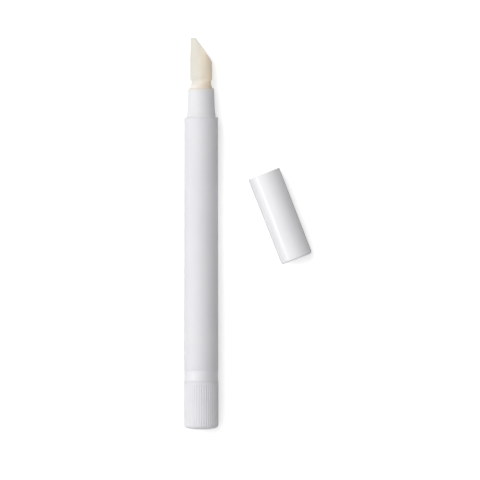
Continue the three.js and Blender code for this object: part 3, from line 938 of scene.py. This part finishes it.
@dataclass
class TwistGrip(Assembly):
    """The ribbed knob, and the housing whose band shows between knob and barrel."""

    end_wall: float = 1.5
    end_fillet: float = 1.3
    end_dome: float = 0.35
    end_slope: float = 1.95
    end_start: float = -86.0  # degrees, where the fillet leaves the dome
    rim_edge: float = 0.03
    rib_count: int = 44
    rib_facets: int = 8
    rib_depth: float = 0.14
    rib_land: float = 0.2
    rib_front: float = 0.9  # width of the smooth rim in front of the ribs
    rib_run_out: float = 0.35
    rib_crease: float = 60.0  # degrees
    row: float = 2.0  # length of the knob's rows of facets
    spline: float = 0.2
    spline_count: int = 4
    spline_half: float = 10.4  # degrees, half the width of the slot for a spline
    lug_count: int = 2
    lug_half: float = 22.0  # degrees, half the width of the slot for one of the nut's lugs
    lug_length: float = 1.6
    socket_wall: float = 0.8
    socket_depth: float = 4.5
    snap_setback: float = 2.2
    snap_height: float = 0.2
    snap_half: float = 0.65
    band_inset: float = 0.06
    band_gap: float = 0.02
    band_edge: float = 0.02
    housing_wall: float = 1.0
    lip_length: float = 1.2
    tooth_count: int = 12
    tooth_length: float = 4.4
    tooth_row: float = 0.2  # length of the ratchet's rows of facets

    def build(self) -> None:
        """Makes and hands over both pieces."""
        self.hand_over(self.knob(), Body.DRIVE, SATIN_KNOB, "twist_knob")
        self.hand_over(self.housing(), Body.PEN, PEARL_BAND, "drive_housing")

    def knob(self) -> bpy.types.Object:
        """Builds the knob with its ribs.

        Returns:
            The knob.
        """
        rear, front = span("twist_knob")
        snap = span("drive_housing")[0] + self.snap_setback
        groove = fits().journal + self.snap_height + fits().running
        socket = fits().sleeve + fits().snug
        wall = socket + self.spline + self.socket_wall
        edge = fits().knob - self.end_fillet
        inner = rear + self.end_wall
        outline = Outline(0, rear).to((edge - self.end_slope, rear))
        outline.bend((edge - self.end_slope / 2, rear), (edge, rear + self.end_dome))
        fillet = rear + self.end_dome + self.end_fillet
        outline.arc((edge, fillet), self.end_fillet, self.end_start, 0, steps=14)
        outline.rows((fits().knob, front - self.rib_front - 2 * self.rib_run_out), self.row)
        outline.rows((fits().knob, front - self.rib_front), self.rib_run_out / 4)
        outline.arc((fits().knob - self.rim_edge, front - self.rim_edge), self.rim_edge, 0, 90, steps=5)
        outline.to(
            (fits().knob_bore, front),
            (fits().knob_bore, snap + self.snap_half),
            (groove, snap + self.snap_half / 2),
            (groove, snap - self.snap_half / 2),
            (fits().knob_bore, snap - self.snap_half),
            (fits().knob_bore, inner),
            (wall, inner),
            (wall, inner + self.socket_depth),
            (socket, inner + self.socket_depth),
            (socket, inner),
            (0, inner),
        )
        slot = socket + self.spline + fits().snug
        section = outline.notched(
            self.spline_count,
            self.spline_half,
            lambda point: (slot, point[1]) if point[0] == socket else point,
        )
        knob = turned("knob_shell", section, self.rib_count * self.rib_facets)
        ribs = Ribs(
            "knob_ribs",
            {
                "Count": self.rib_count,
                "Depth": self.rib_depth * MM,
                "Land": self.rib_land,
                "Skin": fits().knob * MM,
                "Front": (front - self.rib_front) * MM,
                "Run-out": self.rib_run_out * MM,
            },
        )
        ribs.press(knob, SATIN_KNOB)
        smooth(knob, self.rib_crease)
        return knob

    def housing(self) -> bpy.types.Object:
        """Builds the housing with its band and its ratchet teeth.

        Returns:
            The housing.
        """
        rear, front = span("drive_housing")
        band_rear = span("twist_knob")[1] + self.band_gap
        band_front = span("barrel")[0] - self.band_gap
        lip_front = band_front - fits().seat
        lip_rear = lip_front - self.lip_length
        lip = fits().sleeve + fits().running
        snap = rear + self.snap_setback
        bead = fits().journal + self.snap_height
        edge = fits().rear - self.band_inset - self.band_edge
        spigot = fits().counterbore - fits().snug
        outline = Outline(fits().pocket, rear).to(
            (fits().journal - fits().snug, rear),
            (fits().journal, snap - self.snap_half),
            (bead, snap - self.snap_half / 2),
            (bead, snap + self.snap_half / 2),
            (fits().journal, snap + self.snap_half),
            (fits().journal, band_rear),
        )
        outline.arc((edge, band_rear + self.band_edge), self.band_edge, -90, 0, steps=6)
        outline.arc((edge, band_front - self.band_edge), self.band_edge, 0, 90, steps=6)
        outline.to(
            (spigot, band_front),
            (spigot, front),
            (spigot - self.housing_wall, front),
            (spigot - self.housing_wall, lip_front),
            (lip, lip_front),
            (lip, lip_rear),
        )
        outline.rows((fits().pocket, lip_rear), self.tooth_row)
        outline.rows((fits().pocket, lip_rear - self.tooth_length), self.tooth_row)
        outline.to((fits().pocket, rear))
        slot = front - self.lug_length - fits().slip
        section = outline.notched(
            self.lug_count,
            self.lug_half,
            lambda point: (point[0], slot) if point[1] == front else point,
        )
        housing = turned("band_housing", section)
        teeth = RatchetTeeth(
            "ratchet_teeth",
            {
                "Count": self.tooth_count,
                "Height": fits().tooth * MM,
                "Wall": fits().pocket * MM,
                "Rear": (lip_rear - self.tooth_length + fits().seat) * MM,
                "Front": (lip_rear - fits().seat) * MM,
            },
        )
        teeth.press(housing, PEARL_BAND)
        smooth(housing)
        return housing


@dataclass
class Barrel(Assembly):
    """The bare reservoir tube, with a slight taper towards the front."""

    rear_edge: float = 0.04
    front_edge: float = 0.16

    def build(self) -> None:
        """Makes and hands over the tube."""
        rear, front = span("barrel")
        ledge = span("screw_nut")[1] + fits().seat
        outline = Outline(fits().counterbore, rear)
        outline.arc((fits().rear - self.rear_edge, rear + self.rear_edge), self.rear_edge, -90, 0)
        outline.arc((fits().front - self.front_edge, front - self.front_edge), self.front_edge, 0, 90)
        outline.to(
            (fits().reservoir, front),
            (fits().reservoir, ledge),
            (fits().counterbore, ledge),
            (fits().counterbore, rear),
        )
        tube = turned("barrel_tube", outline.section)
        self.hand_over(tube, Body.PEN, SATIN_SHELL, "barrel")


@dataclass
class Neck(Assembly):
    """The collar that plugs the barrel, the soft tip in it and the feed tube through both."""

    ring_length: float = 0.9
    ring_flare: float = 1.1
    ring_edge: float = 0.04
    rim_round: float = 0.25
    plug_lead: float = 0.1
    plug_wall: float = 0.71
    bead_stations: tuple[float, float] = (3.0, 7.5)
    bead_half: float = 0.6
    funnel_length: float = 6.0
    web_length: float = 2.7
    tip_bead_height: float = 0.3
    tip_bead_setback: float = 5.0
    tip_bead_quarter: float = 0.25
    tip_taper: float = 0.225  # how much it narrows all round to the apex
    tip_waist_depth: float = 0.42
    tip_flare: float = 1.75
    tip_flare_ease: float = 0.1  # how softly the flare runs into the waist
    tip_foot: float = 0.02  # how far the flare covers the collar's rim
    tip_foot_gap: float = 0.03
    tip_waist_length: float = 0.5
    tip_shoulder: float = 1.0
    tip_apex_width: float = 1.75
    tip_slant: float = 34.2  # degrees between the cut and the axis
    tip_edge: float = 0.42  # rounding of the slant's rim
    tip_ridge: float = 0.5  # rounding between the slant and the blunt apex
    slant_rows: int = 12
    rim_tries: int = 4  # that settle the tapered rim on the slant
    outlet: float = 0.6
    feed_bore: float = 0.8
    feed_outer: float = 1.6
    feed_nipple: float = 2.4
    feed_flange_length: float = 1.1
    feed_lead: float = 0.3
    feed_facets: int = 64

    def build(self) -> None:
        """Makes and hands over the three pieces."""
        self.hand_over(self.collar(), Body.PEN, WHITE_NECK, "neck_collar")
        tip = turned("soft_tip", self.tip_section)
        self.hand_over(tip, Body.PEN, CREAM_TIP, "applicator_tip")
        self.hand_over(self.feed(), Body.PEN, NATURAL_PLASTIC, "feed_tube")

    def collar(self) -> bpy.types.Object:
        """Builds the collar with its plug, beads, grip ring and socket.

        Returns:
            The collar.
        """
        rear, front = span("neck_collar")
        step = span("barrel")[1] + fits().seat
        web_rear = rear + self.funnel_length
        web_front = web_rear + self.web_length
        groove = front - self.tip_bead_setback
        wide = fits().tip_root + self.tip_bead_height + fits().running
        quarter = self.tip_bead_quarter
        plug = fits().reservoir - fits().slip
        bead = fits().reservoir - fits().snug
        passage = self.feed_outer + fits().running
        flare = step + self.ring_length + self.ring_flare
        outline = Outline(plug - self.plug_wall, rear).to((plug - self.plug_lead, rear))
        for station in self.bead_stations:
            outline.to((plug, rear + station - self.bead_half))
            outline.bend((bead, rear + station), (plug, rear + station + self.bead_half))
        outline.to((plug, step))
        outline.arc((fits().ring - self.ring_edge, step + self.ring_edge), self.ring_edge, -90, 0, steps=5)
        outline.to((fits().ring, step + self.ring_length))
        outline.bend((fits().collar + self.ring_edge, flare - self.ring_flare / 2), (fits().collar, flare))
        outline.arc((fits().collar_top - self.rim_round, front - self.rim_round), self.rim_round, 0, 90)
        outline.to(
            (fits().socket, front),
            (fits().socket, groove + 2 * quarter + fits().running),
            (wide, groove + quarter),
            (wide, groove - quarter),
            (fits().socket, groove - 2 * quarter - fits().running),
            (fits().socket, web_front),
            (passage, web_front),
            (passage, web_rear),
            (plug - self.plug_wall, rear),
        )
        return turned("collar_plug", outline.section)

    def tip_height(self, across: float) -> float:
        """Gives the tip's top, on its apex or its slant.

        Args:
            across: The distance to the side from the axis.

        Returns:
            The top's station.
        """
        flat = span("applicator_tip")[1]
        blunt = self.tip_apex_width - fits().tip + self.tip_taper
        slant = flat - (across - blunt) / math.tan(math.radians(self.tip_slant))
        reach = max(0.0, self.tip_ridge - abs(flat - slant)) / self.tip_ridge
        return min(flat, slant) - self.tip_ridge * reach * reach / 4

    def tip_section(self, angle: float) -> list[Point]:
        """Returns the tip's section at an angle, whose top follows the slanted cut.

        Args:
            angle: The angle about the axis, from straight up.

        Returns:
            The section's points.
        """
        rear, front = span("applicator_tip")
        mouth = span("neck_collar")[1]
        floor = span("feed_tube")[1] + 2 * fits().running
        bead = mouth - self.tip_bead_setback
        held = fits().tip_root + self.tip_bead_height
        quarter = self.tip_bead_quarter
        thin = fits().tip - self.tip_waist_depth
        waist = mouth + self.tip_flare
        body = waist + self.tip_waist_length + self.tip_shoulder
        taper = (body + front) / 2
        side = math.sin(angle)
        rim = fits().tip
        for _ in range(self.rim_tries):
            top = self.tip_height(rim * side)
            rim = fits().tip - self.tip_taper * max(0.0, top - taper) / (front - taper)
        inset = rim - self.tip_edge
        bore = self.feed_outer + fits().slip
        outline = Outline(bore, rear).to(
            (fits().tip_root, rear),
            (fits().tip_root, bead - 2 * quarter),
            (held, bead - quarter),
            (held, bead + quarter),
            (fits().tip_root, bead + 2 * quarter),
            (fits().tip_root, mouth + self.tip_foot_gap),
            (fits().socket + self.tip_foot, mouth + self.tip_foot_gap),
        )
        outline.bend((thin + self.tip_flare_ease, waist - self.tip_flare / 3), (thin, waist))
        outline.to((thin, waist + self.tip_waist_length))
        middle = body - self.tip_shoulder / 2
        outline.bend((thin, middle), ((thin + fits().tip) / 2, middle))
        outline.bend((fits().tip, middle), (fits().tip, body))
        outline.to((fits().tip, min(taper, top - 2 * self.tip_edge)))
        outline.to((rim, top - self.tip_edge))
        outline.bend((rim, top), (inset, self.tip_height(inset * side)))
        for row in range(1, self.slant_rows + 1):
            radius = inset + (self.outlet - inset) * row / self.slant_rows
            outline.to((radius, self.tip_height(radius * side)))
        outline.to((self.outlet, floor), (bore, floor - fits().running), (bore, rear))
        return outline.points

    def feed(self) -> bpy.types.Object:
        """Builds the stiff tube inside the tip.

        Returns:
            The tube.
        """
        rear, front = span("feed_tube")
        flange = fits().socket - fits().running
        flange_rear = rear + self.feed_nipple
        flange_front = flange_rear + self.feed_flange_length
        outline = Outline(self.feed_bore, rear).to(
            (self.feed_outer, rear),
            (self.feed_outer, flange_rear),
            (flange, flange_rear),
            (flange, flange_front),
            (self.feed_outer, flange_front),
            (self.feed_outer, front - self.feed_lead),
            (self.feed_outer - self.feed_lead, front),
            (self.feed_bore, front),
            (self.feed_bore, rear),
        )
        return turned("feed_pipe", outline.section, self.feed_facets)


@dataclass
class ScrewDrive(Assembly):
    """The threaded rod, its nut's thread and the piston on the rod's head."""

    flat_depth: float = 0.6
    rod_chamfer: float = 0.3
    neck_inset: float = 0.9
    neck_length: float = 1.5
    head_inset: float = 0.4
    head_length: float = 1.6
    head_slope: float = 0.8
    lead: float = 3.0
    starts: int = 2
    thread_depth: float = 0.38
    thread_crest: float = 0.3
    thread_root: float = 0.3
    row: float = 0.1
    nut_length: float = 6.0
    nut_liner: float = 0.3  # from the screw to the liner's outside
    facets: int = 72
    piston_waist: float = 0.35
    piston_wall: float = 0.7
    lip_length: float = 1.1
    skirt_depth: float = 3.4
    hub_wall: float = 0.75
    hub_setback: float = 0.8
    nose: float = 1.6
    nose_slope: float = 2.91
    piston_facets: int = 96

    def build(self) -> None:
        """Makes and hands over the three pieces."""
        self.hand_over(self.threaded_rod(), Body.SCREW, INNER_PLASTIC, "screw_rod")
        self.hand_over(self.nut_thread(), Body.PEN, NATURAL_PLASTIC)
        self.hand_over(self.plunger(), Body.PLUNGER, NATURAL_PLASTIC, "piston")

    def thread_sizes(self, skin: float, rear: float, front: float) -> dict[str, float]:
        """Gathers the inputs of a thread's nodes.

        Args:
            skin: The radius that the thread starts from, in millimetres.
            rear: Where the thread starts along the axis, in millimetres.
            front: Where it ends.

        Returns:
            The inputs by name, in the frame's metres or as counts and shares.
        """
        return {
            "Skin": skin * MM,
            "Depth": self.thread_depth * MM,
            "Lead": self.lead * MM,
            "Starts": self.starts,
            "Crest": self.thread_crest,
            "Root": self.thread_root,
            "Rear": rear * MM,
            "Front": front * MM,
        }

    def threaded_rod(self) -> bpy.types.Object:
        """Builds the rod with its thread, two flats, neck and head.

        Returns:
            The rod.
        """
        rear, front = span("screw_rod")
        neck = fits().screw - self.neck_inset
        head = fits().screw - self.head_inset
        flat = (fits().screw - self.flat_depth) * MM
        head_rear = front - self.head_length
        shoulder = head_rear - self.neck_length
        outline = Outline(0, rear).to((fits().screw - self.rod_chamfer, rear))
        outline.to((fits().screw, rear + self.rod_chamfer))
        outline.rows((fits().screw, shoulder), self.row)
        outline.to(
            (neck, shoulder),
            (neck, head_rear),
            (head, head_rear),
            (head, head_rear + self.head_length / 3),
            (head - self.head_slope, front),
            (0, front),
        )
        rod = turned("threaded_rod", outline.section, self.facets)
        ScrewThread("rod_thread", self.thread_sizes(fits().screw, rear, shoulder)).press(
            rod, INNER_PLASTIC
        )
        for vertex in rod.data.vertices:
            if vertex.co.y < (shoulder + self.row / 2) * MM:
                vertex.co.z = max(-flat, min(flat, vertex.co.z))
        smooth(rod)
        return rod

    def nut_thread(self) -> bpy.types.Object:
        """Builds the thread inside the nut.

        Returns:
            The thread.
        """
        front = span("screw_nut")[1] - fits().running
        rear = front - self.nut_length + fits().running
        bore = fits().screw + fits().slip
        liner = fits().screw + self.nut_liner
        outline = Outline(liner, rear).to((liner, front), (bore, front))
        outline.rows((bore, rear), self.row)
        outline.to((liner, rear))
        thread = turned("nut_thread", outline.section, self.facets)
        NutThread("nut_thread", self.thread_sizes(bore, rear, front)).press(thread, NATURAL_PLASTIC)
        smooth(thread)
        return thread

    def plunger(self) -> bpy.types.Object:
        """Builds the piston with its two sealing lips and its hub.

        Returns:
            The piston.
        """
        rear, front = span("piston")
        shoulder = front - self.nose
        lip = fits().reservoir - fits().snug
        waist = lip - self.piston_waist
        skirt = waist - self.piston_wall
        neck = fits().screw - self.neck_inset + fits().running
        room = fits().screw - self.head_inset + fits().running
        hub = room + self.hub_wall
        hub_rear = rear + self.hub_setback
        room_rear = hub_rear + self.neck_length - fits().seat - fits().running
        room_front = room_rear + self.head_length + fits().seat + 2 * fits().running
        outline = Outline(0, front).to((waist - self.nose_slope, front))
        outline.to((waist, shoulder), (lip, shoulder), (lip, shoulder - self.lip_length / 2))
        outline.to((waist, shoulder - self.lip_length), (waist, rear + self.lip_length))
        outline.to(
            (lip, rear + self.lip_length / 2),
            (lip, rear),
            (skirt + fits().slip, rear),
            (skirt, rear + self.skirt_depth),
            (hub, rear + self.skirt_depth),
            (hub, hub_rear),
            (neck, hub_rear),
            (neck, room_rear),
            (room, room_rear),
            (room, room_front),
            (0, room_front),
        )
        return turned("piston_body", outline.section, self.piston_facets)


@dataclass
class Cap(Assembly):
    """The glossy cap, which lies beside the pen on the same floor."""

    inset: float = 0.02  # how far it lies below the barrel's surface when it is on
    draft: float = 0.14
    nose_room: float = 2.65
    end_wall: float = 1.3
    end_fillet: float = 0.8
    lip_round: float = 0.22
    ring_depth: float = 1.95
    end_play: float = 0.3
    tip_room: float = 0.6  # radial gap round the soft tip
    floor_fillet: float = 0.4

    def build(self, record: dict[str, Any]) -> None:
        """Makes the cap at its place and hands it over.

        Args:
            record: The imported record, whose cap mount gives the cap's closed end.
        """
        step = span("barrel")[1] + fits().seat
        length = span("applicator_tip")[1] - step + self.nose_room + self.end_wall
        collar_depth = span("neck_collar")[1] - step + self.end_play
        mouth = fits().front - self.inset
        end = mouth - self.draft
        ring = fits().ring + fits().snug
        collar = fits().collar + fits().slip
        tip = fits().tip + self.tip_room
        lip = length - self.lip_round
        outline = Outline(0, 0)
        outline.arc((end - self.end_fillet, self.end_fillet), self.end_fillet, -90, 0, steps=12)
        outline.arc((mouth - self.lip_round, lip), self.lip_round, 0, 90, steps=6)
        outline.arc((ring + self.lip_round, lip), self.lip_round, 90, 180, steps=6)
        outline.to(
            (ring, length - self.ring_depth),
            (collar, length - self.ring_depth - ring + collar),
            (collar, length - collar_depth),
            (tip, length - collar_depth - collar + tip),
        )
        outline.arc(
            (tip - self.floor_fillet, self.end_wall + self.floor_fillet), self.floor_fillet, 0, -90, steps=6
        )
        outline.to((0, self.end_wall))
        shell = turned("cap_shell", outline.section, place=self.place(record))
        self.hand_over(shell, Body.CAP, GLOSS_SHELL, "cap")

    @staticmethod
    def place(record: dict[str, Any]) -> Matrix:
        """Gives the move from the cap's own frame, closed end first, to where it lies.

        Args:
            record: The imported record, whose cap mount gives the cap's closed end.

        Returns:
            The move's matrix.
        """
        mount = next(m for m in record["mounts"] if m["name"] == "cap_end")
        along = -Vector(mount["axis"]).normalized()
        up = Vector((0, 0, 1))
        across = along.cross(up)
        turn = Matrix((across, along, up)).transposed().to_4x4()
        return Matrix.Translation(mount["pos_m"]) @ turn


class InnerParts(Assembly):
    """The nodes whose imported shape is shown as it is."""

    FINISHES: ClassVar[dict[str, Moulded]] = {
        "drive_sleeve": INNER_PLASTIC,
        "click_ring": NATURAL_PLASTIC,
        "screw_nut": NATURAL_PLASTIC,
    }

    def build(self, nodes: dict[str, bpy.types.Object]) -> None:
        """Gives each of these nodes its material.

        Args:
            nodes: The frame's nodes by name.
        """
        for name, finish in self.FINISHES.items():
            for held in nodes[name].material_slots:
                held.material = finish.material()
            log.info("%s keeps its shape in %s", name, finish.name)


@dataclass(frozen=True)
class Lamp:
    """A softbox that hangs over the pen and faces the middle of the view.

    Attributes:
        name: The lamp's name.
        left: How far it leans to the left from straight above, in degrees.
        ahead: How far it leans towards the tip, in degrees.
        size: Its width across the pen and its length along it.
        power: Its power in watts.
        distance: How far away it hangs.
        mirrored: Whether glossy surfaces show it.
    """

    name: str
    left: float
    ahead: float
    size: tuple[float, float]
    power: float
    distance: float = 900.0
    mirrored: bool = True

    def hang(self, target: Vector) -> None:
        """Adds the lamp.

        Args:
            target: The point that it faces, in metres.
        """
        data = bpy.data.lights.new(self.name, "AREA")
        data.shape = "RECTANGLE"
        data.size = self.size[0] * MM
        data.size_y = self.size[1] * MM
        data.energy = self.power
        lamp = bpy.data.objects.new(self.name, data)
        lean = Matrix.Rotation(-math.radians(self.left), 4, "Y") @ Matrix.Rotation(
            -math.radians(self.ahead), 4, "X"
        )
        lamp.matrix_world = (
            Matrix.Translation(target) @ lean @ Matrix.Translation((0, 0, self.distance * MM))
        )
        lamp.visible_glossy = self.mirrored
        bpy.context.scene.collection.objects.link(lamp)


@dataclass
class Studio:
    """A pale floor, soft light from the left and a camera that looks straight down."""

    view_width: float = 160.0
    view_centre: tuple[float, float] = (12.98, 63.07)
    camera_height: float = 2000.0
    camera_reach: float = 20000.0
    sensor: float = 36.0
    floor_gap: float = 0.03  # below the pen's underside
    floor_reach: float = 3000.0
    floor_colour: float = 0.8
    floor_mirrored: tuple[float, float] = (1.0, 0.2)  # as glossy surfaces show it, left and right; painted shade darkens it to the right, away from the lamps
    floor_fade: tuple[float, float] = (0.0, 60.0)  # where the one turns into the other
    floor_seen: float = 1.1  # as the camera shows it
    floor_glow: float = 0.4  # what the camera adds to it, so that it turns white outside the shadows
    sky: float = 0.41
    sky_mirrored: float = 0.7
    sky_lean: tuple[float, float] = (0.6, 0.35)  # how much darker it gets to the right and ahead
    lamps: tuple[Lamp, ...] = (
        Lamp("softbox", left=33.0, ahead=17.0, size=(800.0, 700.0), power=2.7, mirrored=False),
        Lamp("streak", left=55.0, ahead=-17.5, size=(105.0, 320.0), power=0.64),
        Lamp("overhead", left=12.0, ahead=15.0, size=(500.0, 400.0), power=2.05, mirrored=False),
    )

    def build(self) -> None:
        """Makes the floor, the world, the lamps and the camera."""
        self.floor()
        self.world()
        for lamp in self.lamps:
            lamp.hang(self.target())
        self.camera()

    def target(self) -> Vector:
        """Returns the middle of the view, on the pen's axis, in metres."""
        return Vector((*self.view_centre, 0)) * MM

    @staticmethod
    def rays(sheet: Sheet) -> tuple[Value, Value]:
        """Tells apart the rays that reach the floor and the world.

        Args:
            sheet: The nodes of the floor or the world.

        Returns:
            1 for rays from the camera, and 1 for rays from a mirror or through glass.
        """
        path = sheet.node("ShaderNodeLightPath")
        names = ("Is Camera Ray", "Is Glossy Ray", "Is Transmission Ray")
        camera, glossy, glass = (Value(sheet, path.outputs[name]) for name in names)
        return camera, (glossy + glass).at_most(1.0)

    def floor(self) -> None:
        """Lays the floor under the pen."""
        mesh = bpy.data.meshes.new("floor")
        reach = self.floor_reach
        corners = [(-reach, -reach), (reach, -reach), (reach, reach), (-reach, reach)]
        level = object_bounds()[0][2] - self.floor_gap * MM
        mesh.from_pydata([(x * MM, y * MM, level) for x, y in corners], [], [(0, 1, 2, 3)])
        floor = bpy.data.objects.new("floor", mesh)
        bpy.context.scene.collection.objects.link(floor)
        paper = bpy.data.materials.new("floor_paper")
        paper.use_nodes = True
        sheet = Sheet(paper.node_tree)
        camera, mirror = self.rays(sheet)
        tones = (self.floor_colour, self.floor_seen, *self.floor_mirrored)
        plain, seen, left, right = (opaque((tone, tone, tone)) for tone in tones)
        across, _, _ = sheet.axes(sheet.place())
        # Painted shade: as glossy surfaces show it, the floor darkens to the right, away from the lamps.
        mirrored = sheet.mix(across.rise(*self.floor_fade), left, right)
        colour = sheet.mix(camera, sheet.mix(mirror, plain, mirrored), seen)
        glow = sheet.mix(camera, opaque((0, 0, 0)), opaque((self.floor_glow,) * 3))
        shader = sheet.node(
            "ShaderNodeBsdfPrincipled",
            None,
            {
                "Base Color": colour,
                "Roughness": 1.0,
                "Specular IOR Level": 0.0,
                "Emission Color": glow,
                "Emission Strength": 1.0,
            },
        )
        sheet.node("ShaderNodeOutputMaterial", None, {"Surface": shader.outputs[0]})
        mesh.materials.append(paper)
        floor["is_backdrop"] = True

    def world(self) -> None:
        """Surrounds the object with soft light that fades to the right, and that shows as white."""
        world = bpy.data.worlds.new("studio")
        world.use_nodes = True
        sheet = Sheet(world.node_tree)
        camera, mirror = self.rays(sheet)
        where = sheet.node("ShaderNodeTexCoord")
        right, ahead, _ = sheet.axes(where.outputs["Generated"])
        lean_right, lean_ahead = self.sky_lean
        slope = 1 - right * lean_right - ahead * lean_ahead
        lit = (mirror * (self.sky_mirrored - self.sky) + self.sky) * slope
        strength = camera + (1 - camera) * lit
        inputs = {"Color": opaque((1, 1, 1)), "Strength": strength}
        light = sheet.node("ShaderNodeBackground", None, inputs)
        sheet.node("ShaderNodeOutputWorld", None, {"Surface": light.outputs[0]})
        bpy.context.scene.world = world

    def camera(self) -> None:
        """Sets a long lens straight above the middle of the view."""
        data = bpy.data.cameras.new("camera")
        data.sensor_width = self.sensor
        data.lens = self.sensor * self.camera_height / self.view_width
        data.clip_end = self.camera_reach * MM
        camera = bpy.data.objects.new("camera", data)
        camera.location = self.target() + Vector((0, 0, self.camera_height * MM))
        bpy.context.scene.collection.objects.link(camera)
        bpy.context.scene.camera = camera


def main() -> None:
    """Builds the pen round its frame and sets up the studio."""
    logging.basicConfig(level=logging.INFO, format="%(name)s: %(message)s")
    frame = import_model()
    bpy.context.scene.view_settings.view_transform = "Standard"
    TwistGrip().build()
    Barrel().build()
    Neck().build()
    ScrewDrive().build()
    Cap().build(frame["record"])
    InnerParts().build(frame["nodes"])
    Studio().build()


if __name__ == "__main__":
    main()
